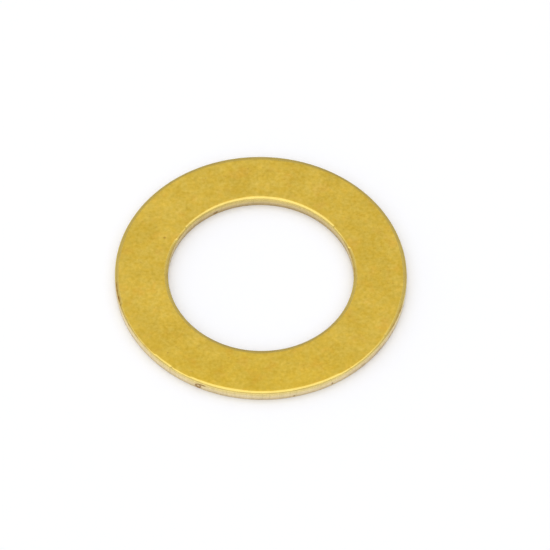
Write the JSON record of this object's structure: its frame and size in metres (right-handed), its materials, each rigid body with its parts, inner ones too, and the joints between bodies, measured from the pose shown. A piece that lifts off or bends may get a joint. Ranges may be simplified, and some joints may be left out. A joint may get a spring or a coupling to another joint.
{
  "type": "flat washer",
  "caption": "Thin flat ring washer stamped from brass sheet, with a plain round hole, softly rolled edges on the upper face and a sharper lower face.",
  "frame": {"origin": "centre of the lower face, on the axis of the hole", "axes": "+Z along the axis of the hole, towards the face with the rolled edges; X and Y are any two directions in the lower face"},
  "size_m": [0.014, 0.014, 0.0005],
  "materials": {
    "brass": "satin, as stamped and tumbled"
  },
  "bodies": {
    "root": {"washer_ring": "brass"}
  },
  "joints": []
}
